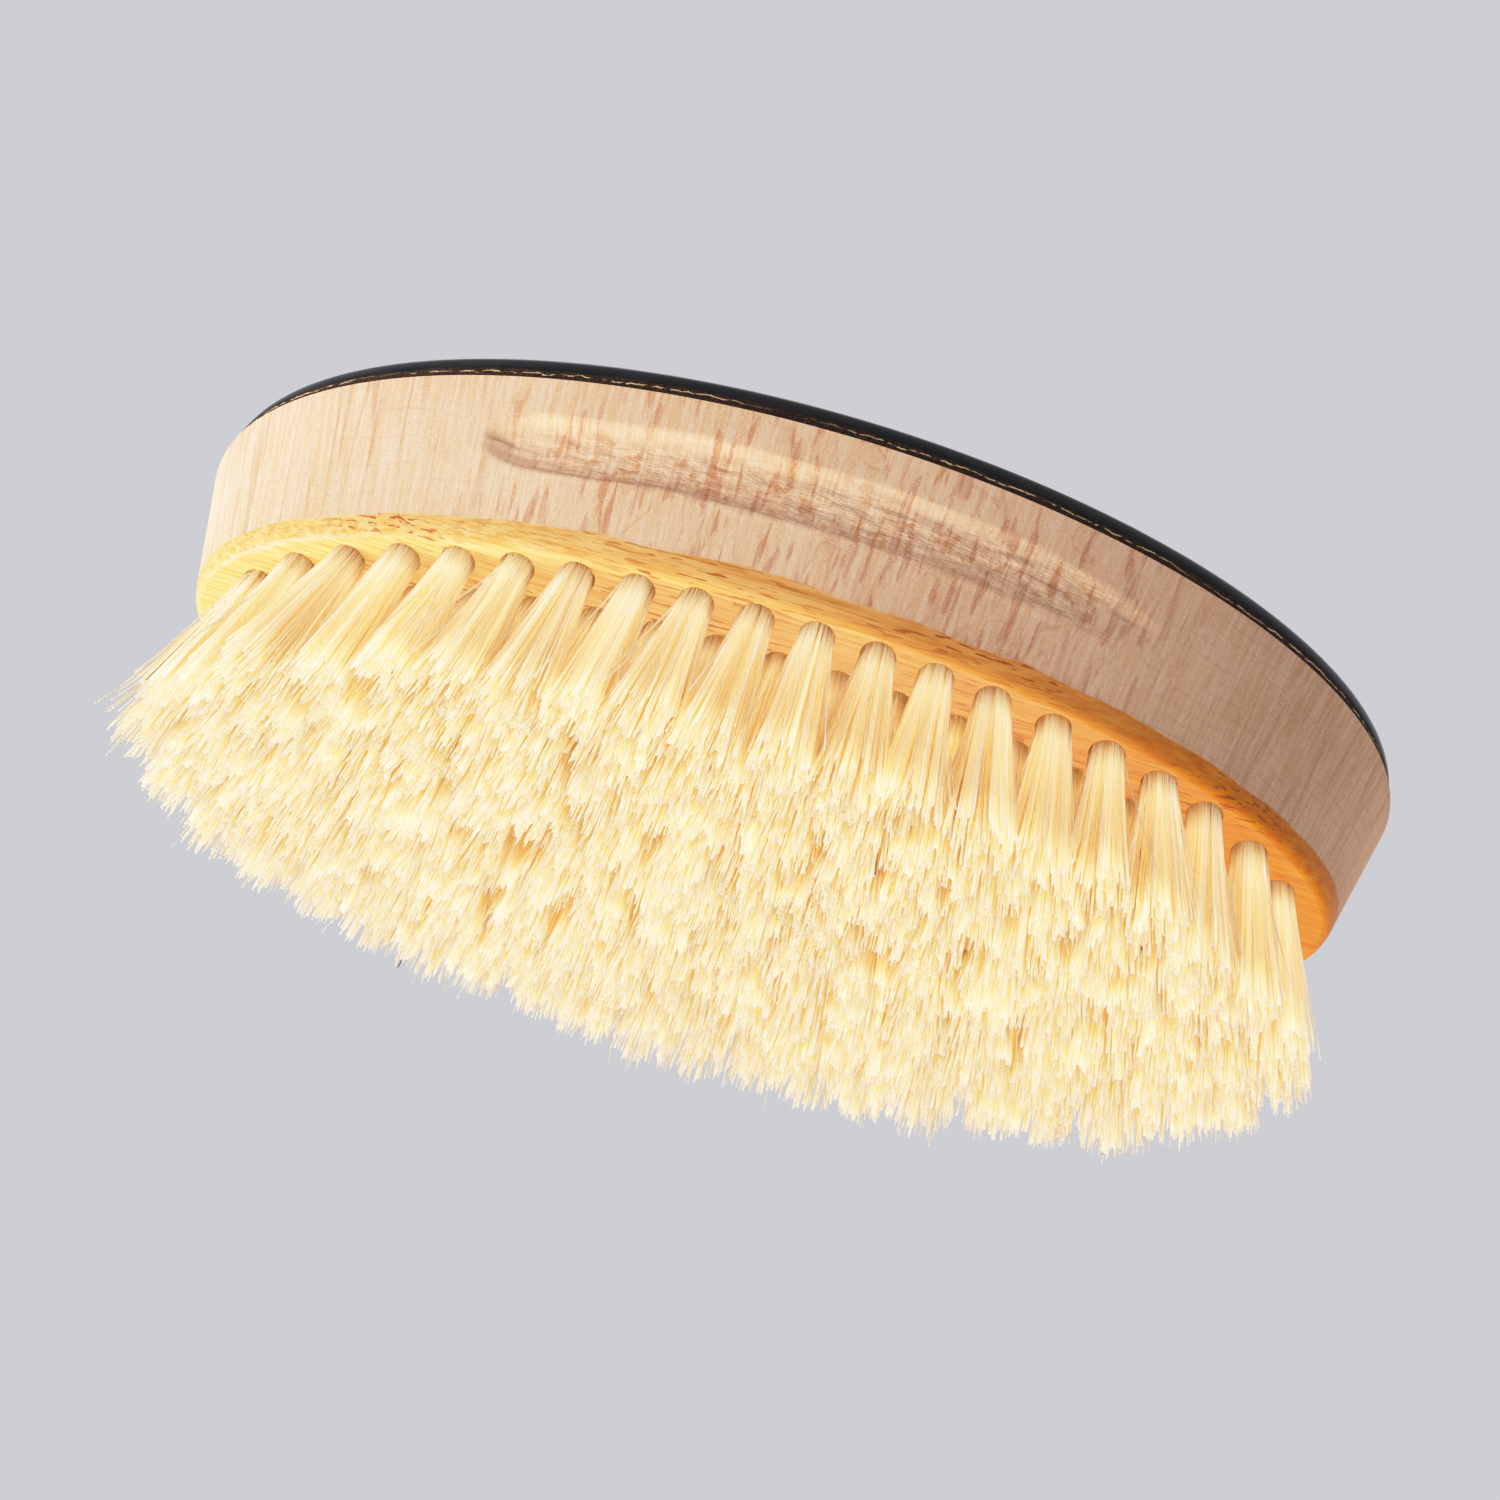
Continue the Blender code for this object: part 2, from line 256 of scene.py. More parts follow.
def groove_depth(x, z):
    """Depth of the finger groove: torn and a little uneven, and fading out slowly toward +X."""
    wander = GROOVE_WANDER * noise.noise(Vector((x / GROOVE_WANDER_LENGTH, 3.1, 0)))
    run_out = GROOVE_RUN_OUT if x < 0 else GROOVE_FADE_OUT
    past_end = max(0.0, abs(x) - (GROOVE_HALF_LENGTH - run_out)) / run_out
    height = (z - GROOVE_Z - wander) / GROOVE_HALF_WIDTH
    off_centre = math.hypot(past_end, height)
    if off_centre >= 1:
        return 0.0
    sharpness = GROOVE_UPPER_SHARPNESS if height > 0 else GROOVE_LOWER_SHARPNESS
    tears = noise.noise(Vector((x / GROOVE_TEAR_SIZE[0], z / GROOVE_TEAR_SIZE[1], 7.7)))
    faded = min(1.0, max(0.0, x / GROOVE_HALF_LENGTH - GROOVE_FULL_TO))
    share = 1.0 + (GROOVE_FADED_SHARE - 1.0) * faded
    return (GROOVE_DEPTH * share + GROOVE_TEARS * tears) * (1.0 - off_centre**sharpness)


def side_ring(z):
    return rough_oval(side_half(z), z, 0.0, lambda x, y, z: -groove_depth(x, z))


def stock_rings():
    """Rings up the rounded lower edge and then the slanted side."""
    rings = []
    for step in range(EDGE_STEPS):
        t = step / EDGE_STEPS
        rings.append(oval(FOOT_HALF, UNDERSIDE_Z + EDGE_HEIGHT * t**2, EDGE_INSET * (1 - t)))
    foot_z = UNDERSIDE_Z + EDGE_HEIGHT
    for level in range(SIDE_LEVELS + 1):
        rings.append(side_ring(foot_z + (STOCK_TOP_Z - foot_z) * level / SIDE_LEVELS))
    return rings


def face_with_holes(verts, outline, holes):
    """Triangles between an outline and the holes in it, all given as lists of vertex numbers."""
    used = outline + [i for hole in holes for i in hole]
    flat = [Vector((verts[i][0] / MM, verts[i][1] / MM)) for i in used]
    edges = []
    start = 0
    for loop in [outline, *holes]:
        edges += [(start + i, start + (i + 1) % len(loop)) for i in range(len(loop))]
        start += len(loop)
    _, _, faces, sources, *_ = delaunay_2d_cdt(flat, edges, [], 1, 1e-5)
    hole_of = {}
    for number, hole in enumerate(holes):
        for i in hole:
            hole_of[i] = number
    found = []
    for face in faces:
        corners = [used[sources[i][0]] for i in face]
        inside = {hole_of.get(i, -1) for i in corners}
        if len(inside) == 1 and -1 not in inside:
            continue
        found.append(tuple(corners))
    return found


def add_holes(verts, faces, places):
    """Adds the walls of the tapered tuft holes, and returns their loops at the underside and at the top."""
    levels = (
        (UNDERSIDE_Z, HOLE_MOUTH_RADIUS),
        (UNDERSIDE_Z + HOLE_RIM_DEPTH, HOLE_MOUTH_RADIUS - HOLE_RIM),
        (STOCK_TOP_Z, HOLE_TOP_RADIUS),
    )
    low_holes, high_holes = [], []
    for x, y in places:
        loops = []
        for z, radius in levels:
            loops.append([len(verts) + i for i in range(HOLE_SIDES)])
            for i in range(HOLE_SIDES):
                angle = 2 * math.pi * i / HOLE_SIDES
                verts.append((x + radius * math.cos(angle), y + radius * math.sin(angle), z))
        for low, high in zip(loops, loops[1:]):
            for i in range(HOLE_SIDES):
                j = (i + 1) % HOLE_SIDES
                faces.append((low[i], low[j], high[j], high[i]))
        low_holes.append(loops[0])
        high_holes.append(loops[-1])
    return low_holes, high_holes


def store_outline(obj, verts, outer_count):
    """Keeps each outer point's place on the top outline, by which the wood's pattern runs straight up."""
    reference = [(x, y) for x, y, _ in oval(TOP_HALF, 0.0)]
    layer = obj.data.attributes.new("outline", "FLOAT_VECTOR", "POINT")
    for number, (x, y, z) in enumerate(verts):
        if number < outer_count:
            x, y = reference[number % OUTLINE_SIDES]
        layer.data[number].vector = (x, y, z)


def add_stock(places, surface):
    """The wooden body with a round tapered hole for each tuft."""
    verts, faces = skin(stock_rings())
    outer_count = len(verts)
    low_outline = list(range(OUTLINE_SIDES))
    high_outline = list(range(outer_count - OUTLINE_SIDES, outer_count))
    low_holes, high_holes = add_holes(verts, faces, places)
    faces += face_with_holes(verts, low_outline, low_holes)
    faces += face_with_holes(verts, high_outline, high_holes)
    stock = add_mesh("beech_stock", verts, faces)
    turn_faces_out(stock)
    store_outline(stock, verts, outer_count)
    return add_piece(stock, "beech", surface, "stock")


# ---- Seam layer and back ----


def seam_grain(x, y, z):
    fine = noise.noise(Vector((x, y, z)) / SEAM_GRAIN)
    lumps = noise.noise(Vector((x, y, z * 3)) / SEAM_LUMP)
    return SEAM_ROUGHNESS * (fine + SEAM_LUMP_SHARE * lumps)


def add_seam(surface):
    """The rough layer under the back: its edge is granular, and its underside is hollowed for the wires."""
    recess_half = tuple(half - SEAM_RECESS_INSET for half in TOP_HALF)
    rings = [oval(recess_half, STOCK_TOP_Z + SEAM_RECESS_HEIGHT), oval(recess_half, STOCK_TOP_Z)]
    for level in range(SEAM_LEVELS + 1):
        z = STOCK_TOP_Z + (SEAM_TOP_Z - STOCK_TOP_Z) * level / SEAM_LEVELS
        rings.append(rough_oval(TOP_HALF, z, SEAM_INSET, seam_grain))
    verts, faces = skin(rings)
    faces.append(tuple(range(OUTLINE_SIDES)))
    faces.append(tuple(len(verts) - OUTLINE_SIDES + i for i in range(OUTLINE_SIDES)))
    seam = add_mesh("rough_seam", verts, faces, math.radians(60))
    turn_faces_out(seam)
    return add_piece(seam, "seam", surface, "seam_layer")


def add_back(surface):
    """The polished back: a slightly bulging edge, rounded over into a low crown."""
    rings = [oval(TOP_HALF, SEAM_TOP_Z + rise, inset) for rise, inset in BACK_FOOT]
    for step in range(BACK_STEPS + 1):
        angle = math.pi / 2 * step / BACK_STEPS
        z = BACK_EDGE_Z + BACK_ROUND * math.sin(angle)
        rings.append(oval(TOP_HALF, z, BACK_ROUND * (1 - math.cos(angle))))
    shoulder_z = BACK_EDGE_Z + BACK_ROUND
    shoulder_half = tuple(half - BACK_ROUND for half in TOP_HALF)
    for step in range(1, CROWN_STEPS):
        share = 1 - step / CROWN_STEPS
        z = CROWN_Z - (CROWN_Z - shoulder_z) * share**2
        rings.append(oval(tuple(half * share for half in shoulder_half), z))
    verts, faces = skin(rings)
    top = len(verts)
    verts.append((0.0, 0.0, CROWN_Z))
    last = top - OUTLINE_SIDES
    faces += [(last + i, last + (i + 1) % OUTLINE_SIDES, top) for i in range(OUTLINE_SIDES)]
    faces.append(tuple(range(OUTLINE_SIDES)))
    back = add_mesh("polished_back", verts, faces)
    turn_faces_out(back)
    return add_piece(back, "horn", surface, "back_plate")


# ---- Bristles ----


def bristle_paths(centre, rng):
    """Paths of one tuft's bristles, as an array of bristle by section by (x, y, z)."""
    count = BRISTLES_PER_TUFT
    angle = rng.uniform(0, 2 * math.pi, count)
    reach = np.sqrt(rng.uniform(0, 1, count))
    outward = np.stack([np.cos(angle), np.sin(angle)], axis=1) * reach[:, None]
    mouth = np.array(centre)
    lean = mouth * (np.array([1.0, SIDEWAYS_SPREAD]) - 1) + rng.normal(0, TUFT_LEAN, 2)
    flare = rng.uniform(*FLARE_RANGE) * FLARE
    fan = outward * BUNDLE_RADIUS * (flare - 1)
    scatter = rng.normal(0, TIP_SCATTER, (count, 2))
    stray = rng.uniform(0, 1, count) < STRAY_SHARE
    scatter[stray] += rng.normal(0, STRAY_SCATTER, (stray.sum(), 2))
    tip_xy = mouth + outward * BUNDLE_RADIUS + lean + fan + scatter
    short = np.abs(rng.normal(0, UNEVEN_CUT, count)) + rng.exponential(SHORT_BRISTLES, count)
    tip_z = np.clip(short, 0.0, MOST_SHORT) + rng.uniform(0, UNEVEN_TUFTS)
    root = np.column_stack([mouth + outward * ROOT_BUNDLE_RADIUS, np.full(count, STOCK_TOP_Z - ROOT_DEPTH)])
    entry = np.column_stack([mouth + outward * BUNDLE_RADIUS, np.full(count, UNDERSIDE_Z)])
    bend = rng.normal(0, BEND, (count, 2))
    sections = [root, entry]
    for share in SECTION_SHARES:
        arch = 4 * share * (1 - share)
        xy = entry[:, :2] + (tip_xy - entry[:, :2]) * share**OPENING_CURVE + bend * arch
        z = UNDERSIDE_Z + (tip_z - UNDERSIDE_Z) * share
        sections.append(np.column_stack([xy, z]))
    return np.stack(sections, axis=1)


def tube_points(paths, radii, tones):
    """Rings of points round the paths, each tube turned about itself by its tone, so that none line up."""
    angles = 2 * math.pi * np.arange(BRISTLE_SIDES) / BRISTLE_SIDES
    turn = tones[:, None] * TURN_BY_TONE + angles[None, :]
    around = np.stack([np.cos(turn), np.sin(turn), np.zeros_like(turn)], axis=2)
    points = paths[:, :, None, :] + radii[:, :, None, None] * around[:, None, :, :]
    return points.reshape(-1, 3)


def tube_faces(count, sections):
    """Corners of the tubes' side faces and of their end caps."""
    starts = np.arange(count) * sections * BRISTLE_SIDES
    level = np.arange(sections - 1) * BRISTLE_SIDES
    i = np.arange(BRISTLE_SIDES)
    j = (i + 1) % BRISTLE_SIDES
    low = starts[:, None, None] + level[None, :, None]
    corners = [low + j, low + i, low + BRISTLE_SIDES + i, low + BRISTLE_SIDES + j]
    sides = np.stack(corners, axis=3).reshape(-1, 4)
    root_caps = starts[:, None] + i[None, :]
    tip_caps = starts[:, None] + (sections - 1) * BRISTLE_SIDES + i[::-1][None, :]
    return sides, np.concatenate([root_caps, tip_caps])


def tube_mesh(name, paths, radii, tones):
    """Thin closed tubes along the paths. Every point keeps its tone and its share of the way to the tip."""
    count, sections, _ = paths.shape
    verts = tube_points(paths, radii, tones)
    sides, caps = tube_faces(count, sections)
    faces = np.concatenate([sides, caps])
    mesh = bpy.data.meshes.new(name)
    mesh.vertices.add(len(verts))
    mesh.vertices.foreach_set("co", verts.astype(np.float32).ravel())
    mesh.loops.add(faces.size)
    mesh.loops.foreach_set("vertex_index", faces.astype(np.int32).ravel())
    mesh.polygons.add(len(faces))
    mesh.polygons.foreach_set("loop_start", np.arange(len(faces), dtype=np.int32) * BRISTLE_SIDES)
    mesh.update(calc_edges=True)
    smooth = np.ones(len(faces), bool)
    smooth[len(sides) :] = False
    mesh.polygons.foreach_set("use_smooth", smooth)
    along = np.array([0.0, 0.0, *SECTION_SHARES])
    for kind, values in (
        ("tone", np.repeat(tones, sections * BRISTLE_SIDES)),
        ("along", np.tile(np.repeat(along, BRISTLE_SIDES), count)),
    ):
        layer = mesh.attributes.new(kind, "FLOAT", "POINT")
        layer.data.foreach_set("value", values.astype(np.float32))
    mesh.validate()
    obj = bpy.data.objects.new(name, mesh)
    bpy.context.scene.collection.objects.link(obj)
    return obj


def add_bristles(run, number, places, surface):
    """The single bristles of one run of tufts. The run's number fixes their random draws."""
    rng = np.random.default_rng(RANDOM_SEED + number)
    paths = np.concatenate([bristle_paths(place, rng) for place in places])
    count = len(paths)
    thickness = BRISTLE_RADIUS * rng.uniform(*THICKNESS_RANGE, count)
    radii = thickness[:, None] * np.array(SECTION_TAPER)[None, :]
    tones = rng.uniform(0, 1, count)
    tones[rng.uniform(0, 1, count) < DARK_SHARE] = DARK_TONE
    obj = tube_mesh(run.replace("tufts", "bristles"), paths, radii, tones)
    return add_piece(obj, "bristle", surface, run)


# ---- Materials ----
#
# Noise sizes are in pattern units to the millimetre, and colours are linear.

VARNISH_EDGE_Z = UNDERSIDE_Z + 3.0 * MM
CUTTER_PITCH = 1.45 * MM


class Surface:
    """A node material under construction, with short ways to add what these surfaces use."""

    def __init__(self, name):
        self.material = bpy.data.materials.new(name)
        self.material.use_nodes = True
        self.tree = self.material.node_tree
        self.shader = self.tree.nodes["Principled BSDF"]
        self.place = self.tree.nodes.new("ShaderNodeTexCoord").outputs["Object"]

    def link(self, source, target):
        self.tree.links.new(source, target)

    def set(self, **values):
        for name, value in values.items():
            self.shader.inputs[name.replace("_", " ")].default_value = value

    def scaled(self, per_mm, place):
        """Coordinates in pattern units: per_mm is how many of them a millimetre holds along x, y and z."""
        node = self.tree.nodes.new("ShaderNodeMapping")
        node.inputs["Scale"].default_value = [value / MM for value in per_mm]
        self.link(place or self.place, node.inputs["Vector"])
        return node.outputs["Vector"]

    def split(self, vector):
        node = self.tree.nodes.new("ShaderNodeSeparateXYZ")
        self.link(vector, node.inputs["Vector"])
        return node.outputs["X"], node.outputs["Y"], node.outputs["Z"]

    def noise(self, per_mm, detail=3.0, roughness=0.5, distortion=0.0, place=None):
        node = self.tree.nodes.new("ShaderNodeTexNoise")
        node.inputs["Scale"].default_value = 1.0
        node.inputs["Detail"].default_value = detail
        node.inputs["Roughness"].default_value = roughness
        node.inputs["Distortion"].default_value = distortion
        self.link(self.scaled(per_mm, place), node.inputs["Vector"])
        return node.outputs["Fac"]

    def ramp(self, value, *stops):
        """A grey level from a value: stops are (position, level)."""
        node = self.tree.nodes.new("ShaderNodeValToRGB")
        elements = node.color_ramp.elements
        while len(elements) < len(stops):
            elements.new(0.5)
        for element, (position, level) in zip(elements, stops):
            element.position = position
            element.color = (level, level, level, 1.0)
        self.link(value, node.inputs["Fac"])
        return node.outputs["Color"]

    def math(self, operation, first, second=0.0):
        node = self.tree.nodes.new("ShaderNodeMath")
        node.operation = operation
        for socket, value in zip(node.inputs, (first, second)):
            if isinstance(value, (int, float)):
                socket.default_value = value
            else:
                self.link(value, socket)
        return node.outputs["Value"]

    def mix(self, share, first, second):
        """Colour first where share is 0 and second where it is 1."""
        node = self.tree.nodes.new("ShaderNodeMix")
        node.data_type = "RGBA"
        for socket, value in ((node.inputs[0], share), (node.inputs[6], first), (node.inputs[7], second)):
            if isinstance(value, (int, float)):
                socket.default_value = value
            elif isinstance(value, tuple):
                socket.default_value = (*value, 1.0)
            else:
                self.link(value, socket)
        return node.outputs[2]

    def fade(self, value, start, end):
        """0 where the value is at start and 1 where it is at end, held outside them."""
        node = self.tree.nodes.new("ShaderNodeMapRange")
        node.inputs["From Min"].default_value = start
        node.inputs["From Max"].default_value = end
        self.link(value, node.inputs["Value"])
        return node.outputs["Result"]

    def band(self, value, middle, half_width):
        """1 where the value is at middle, fading to 0 at half_width from it."""
        off = self.math("ABSOLUTE", self.math("SUBTRACT", value, middle))
        return self.fade(off, half_width, 0.0)

    def product(self, first, *others):
        for other in others:
            first = self.math("MULTIPLY", first, other)
        return first

    def attribute(self, name, output="Fac"):
        node = self.tree.nodes.new("ShaderNodeAttribute")
        node.attribute_name = name
        return node.outputs[output]

    def bump(self, height, distance, strength=1.0):
        node = self.tree.nodes.new("ShaderNodeBump")
        node.inputs["Distance"].default_value = distance
        node.inputs["Strength"].default_value = strength
        self.link(height, node.inputs["Height"])
        self.link(node.outputs["Normal"], self.shader.inputs["Normal"])

    def colour(self, source):
        self.link(source, self.shader.inputs["Base Color"])

    def roughness(self, source):
        self.link(source, self.shader.inputs["Roughness"])


def growth_lines(s, flat, colour, ends, midway):
    """Growth lines cross the ends of the side as thin upright lines, and flecks lie along its middle."""
    x, _, _ = s.split(flat)
    left = s.fade(x, 30 * MM, -30 * MM)
    ring_depth = s.math("ADD", s.math("MULTIPLY", left, 0.45), 0.3)
    rings = s.band(s.noise((0.42, 0.42, 0.022), place=flat, detail=1, distortion=0.1), 0.50, 0.034)
    faint = s.band(s.noise((1.1, 1.1, 0.03), place=flat, detail=1), 0.50, 0.05)
    flecks = s.noise((0.95, 0.95, 0.19), place=flat, detail=1.5, distortion=0.25)
    crescents = s.noise((0.17, 0.17, 0.09), place=flat, detail=2, distortion=0.6)
    colour = s.mix(s.product(rings, ends, ring_depth), colour, (0.42, 0.16, 0.065))
    colour = s.mix(s.product(faint, ends, 0.28), colour, (0.48, 0.20, 0.10))
    colour = s.mix(s.product(s.fade(flecks, 0.565, 0.605), midway, 0.8), colour, (0.46, 0.15, 0.055))
    return s.mix(s.product(s.band(crescents, 0.53, 0.016), midway, 0.55), colour, (0.46, 0.17, 0.075))


def cutter_marks(s, flat, colour, ends):
    """Upright hairlines, open pores, and faint lines round the ends. It returns the hairlines as well."""
    _, _, z = s.split(flat)
    hairs = s.noise((2.6, 2.6, 0.16), place=flat, detail=2)
    pores = s.fade(s.noise((3.4, 3.4, 1.3), place=flat, detail=1), 0.62, 0.70)
    wander = s.math("MULTIPLY", s.noise((0.045, 0.045, 0.02), place=flat, detail=2), 7 * MM)
    turns = s.math("SINE", s.math("MULTIPLY", s.math("ADD", z, wander), 2 * math.pi / CUTTER_PITCH))
    patchy = s.fade(s.noise((0.11, 0.11, 0.5), place=flat, detail=1), 0.4, 0.6)
    round_lines = s.product(s.fade(turns, 0.80, 0.98), ends, patchy, 0.3)
    colour = s.mix(s.math("MULTIPLY", s.fade(hairs, 0.40, 0.66), 0.4), colour, (0.84, 0.57, 0.40))
    colour = s.mix(s.math("MULTIPLY", pores, 0.4), colour, (0.48, 0.23, 0.13))
    return s.mix(round_lines, colour, (0.47, 0.22, 0.13)), hairs


def shaded_torn_lip(s, flat, colour, along_groove):
    """Darker fibres on the lower lip of the finger groove: partly torn fibres, partly painted shade below
    the groove.
    """
    _, _, z = s.split(flat)
    wander = s.math("MULTIPLY", s.noise((0.12, 0.12, 0.12), place=flat, detail=2), 1.6 * MM)
    lip = s.band(s.math("ADD", z, wander), GROOVE_Z - 1.7 * MM, 1.0 * MM)
    fibres = s.fade(s.noise((0.35, 0.35, 3.4), place=flat, detail=3), 0.44, 0.6)
    # painted shade along the lower lip, broken up by torn fibres
    return s.mix(s.product(lip, fibres, along_groove, 0.6), colour, (0.40, 0.175, 0.10))


def torn_groove(s, flat, colour, along_groove):
    """Red flecks inside the finger groove. It returns the torn fibres as well."""
    _, _, z = s.split(flat)
    off_groove = s.math("ABSOLUTE", s.math("SUBTRACT", z, GROOVE_Z - 0.5 * MM))
    in_groove = s.product(s.fade(off_groove, 3.2 * MM, 1.6 * MM), along_groove)
    ragged = s.noise((0.55, 0.55, 2.6), place=flat, detail=4, roughness=0.65, distortion=0.4)
    spots = s.fade(s.noise((0.62, 0.62, 0.75), place=flat, detail=1.5), 0.60, 0.64)
    colour = s.mix(s.product(spots, in_groove, 0.6), colour, (0.50, 0.17, 0.06))
    return colour, s.product(ragged, in_groove)


def raw_beech(s, flat):
    """Colour and relief of the bare side. The pattern on it runs straight up, by outline and height."""
    x, _, _ = s.split(flat)
    off_middle = s.math("ABSOLUTE", x)
    midway = s.fade(off_middle, 40 * MM, 27 * MM)
    ends = s.math("SUBTRACT", 1.0, midway)
    along_groove = s.fade(off_middle, GROOVE_HALF_LENGTH, GROOVE_HALF_LENGTH - 8 * MM)
    tone = s.noise((0.035, 0.035, 0.05), place=flat, detail=2)
    grit = s.noise((6.0, 6.0, 6.0), place=flat, detail=1)
    colour = s.mix(s.fade(tone, 0.35, 0.65), (0.71, 0.380, 0.196), (0.61, 0.300, 0.140))
    colour = growth_lines(s, flat, colour, ends, midway)
    colour, hairs = cutter_marks(s, flat, colour, ends)
    # the lower lip of the finger groove gets painted shade mixed with torn fibres
    colour = shaded_torn_lip(s, flat, colour, along_groove)
    colour = s.mix(s.math("MULTIPLY", s.fade(grit, 0.52, 0.75), 0.35), colour, (0.88, 0.66, 0.52))
    colour, torn = torn_groove(s, flat, colour, along_groove)
    relief = s.math("ADD", s.math("MULTIPLY", hairs, 0.12), s.math("MULTIPLY", torn, 2.4))
    return colour, s.math("ADD", relief, s.math("MULTIPLY", grit, 0.25))


def varnished_beech(s):
    """Colour and dashes of the orange varnish, with the grain running along the brush. It is painted paler
    toward -X, as a painted highlight on the side the key light comes from.
    """
    x, _, _ = s.split(s.place)
    grain = s.fade(s.noise((0.075, 1.5, 1.5), detail=4, roughness=0.6), 0.35, 0.68)
    lines = s.fade(s.noise((0.09, 3.4, 3.4), detail=3, roughness=0.6), 0.48, 0.58)
    dashes = s.fade(s.noise((0.34, 3.0, 3.0), detail=1.5), 0.585, 0.625)
    crowd = s.fade(s.noise((0.05, 0.2, 0.2), detail=1), 0.35, 0.6)
    inner = s.fade(s.math("ABSOLUTE", x), 54 * MM, 44 * MM)
    pale = s.mix(grain, (0.90, 0.44, 0.15), (0.80, 0.32, 0.065))
    deep = s.mix(grain, (0.77, 0.215, 0.005), (0.58, 0.105, 0.001))
    # painted highlight: the varnish turns pale toward -X, where the key light falls, and deep orange toward
    # +X
    colour = s.mix(s.fade(x, -28 * MM, 42 * MM), pale, deep)
    colour = s.mix(s.math("MULTIPLY", lines, 0.55), colour, (0.52, 0.16, 0.015))
    colour = s.mix(s.product(dashes, crowd, inner, 0.9), colour, (0.30, 0.05, 0.006))
    return colour, dashes


def beech():
    """Raw pinkish beech on the side, and orange varnish on the underside and the rounded lower edge."""
    s = Surface("beech")
    raw, relief = raw_beech(s, s.attribute("outline", "Vector"))
    varnish, dashes = varnished_beech(s)
    _, _, z = s.split(s.place)
    wobble = s.math("MULTIPLY", s.noise((0.10, 0.10, 0.10), detail=4, roughness=0.6), 1.6 * MM)
    bare = s.fade(s.math("ADD", z, wobble), VARNISH_EDGE_Z - 0.1 * MM, VARNISH_EDGE_Z + 0.1 * MM)
    pits = s.product(dashes, s.math("SUBTRACT", 1.0, bare), -0.3)
    s.colour(s.mix(bare, varnish, raw))
    s.roughness(s.ramp(bare, (0.0, 0.42), (1.0, 0.78)))
    s.set(Specular_IOR_Level=0.22)
    s.bump(s.math("ADD", s.math("MULTIPLY", relief, bare), pits), 0.12 * MM, 0.8)
    return s.material


def rough_seam():
    """Dark granular layer with a broken, wavy line of cream and gold flecks."""
    s = Surface("rough_seam")
    _, _, z = s.split(s.place)
    grains = s.noise((3.5, 3.5, 3.5), detail=3, roughness=0.65)
    wave = s.math("MULTIPLY", s.noise((0.35, 0.35, 0.05), detail=3, roughness=0.7), 1.6 * MM)
    off_line = s.math("ABSOLUTE", s.math("SUBTRACT", z, s.math("ADD", wave, STOCK_TOP_Z + 0.25 * MM)))
    broken = s.fade(s.noise((1.1, 1.1, 2.5), detail=2), 0.42, 0.52)
    patches = s.fade(s.noise((0.06, 0.06, 0.02), detail=1), 0.36, 0.50)
    flecks = s.product(s.fade(off_line, 0.13 * MM, 0.06 * MM), broken, patches)
    base = s.mix(s.fade(grains, 0.35, 0.7), (0.006, 0.003, 0.002), (0.060, 0.026, 0.012))
    s.colour(s.mix(flecks, base, (0.75, 0.50, 0.25)))
    s.set(Roughness=0.8, Specular_IOR_Level=0.1)
    s.bump(grains, 0.15 * MM)
    return s.material


def black_horn():
    """Polished black back with faint streaks and fine wear."""
    s = Surface("black_horn")
    streaks = s.fade(s.noise((0.06, 0.8, 0.8), detail=4, distortion=0.4), 0.45, 0.8)
    wear = s.noise((0.4, 2.0, 0.4), detail=4)
    s.colour(s.mix(streaks, (0.004, 0.004, 0.005), (0.012, 0.010, 0.009)))
    s.roughness(s.ramp(wear, (0.3, 0.1), (0.75, 0.24)))
    s.set(Specular_IOR_Level=0.12)
    s.bump(s.noise((0.15, 0.3, 0.15), detail=2), 0.03 * MM, 0.4)
    return s.material


def bristle_colour(s):
    """Cream, with pale and amber bristles mixed. It is olive in the hole and just below it, a painted shade
    where the tufts enter the stock, and nearly white at the cut, a painted highlight.
    """
    tone = s.attribute("tone")
    along = s.attribute("along")
    base = s.mix(s.fade(tone, 0.0, 0.8), (0.89, 0.64, 0.33), (0.95, 0.77, 0.51))
    base = s.mix(s.fade(tone, 0.80, 0.95), base, (0.98, 0.87, 0.74))
    base = s.mix(s.math("MULTIPLY", s.fade(along, 0.50, 0.05), 0.6), base, (0.84, 0.75, 0.60))
    # painted shade: dark olive-brown in the hole, fading out below its mouth
    base = s.mix(s.math("MULTIPLY", s.fade(along, 0.17, 0.0), 0.85), base, (0.30, 0.22, 0.11))
    # painted highlight: paler cream toward the tip and near white on the cut end, where light from below
    # strikes
    base = s.mix(s.math("MULTIPLY", s.fade(along, 0.90, 1.0), 0.75), base, (0.98, 0.79, 0.51))
    base = s.mix(s.fade(along, 0.985, 1.0), base, (1.0, 0.94, 0.84))
    cluster = s.fade(s.noise((0.16, 0.16, 0.1), detail=1), 0.55, 0.62)
    specks = s.fade(s.noise((4.2, 4.2, 4.2), detail=1), 0.62, 0.66)
    dust = s.product(cluster, specks, s.fade(along, 0.6, 0.95), 0.75)
    base = s.mix(dust, base, (0.22, 0.12, 0.06))
    return s.mix(s.fade(tone, 1.2, 1.8), base, (0.10, 0.045, 0.02))


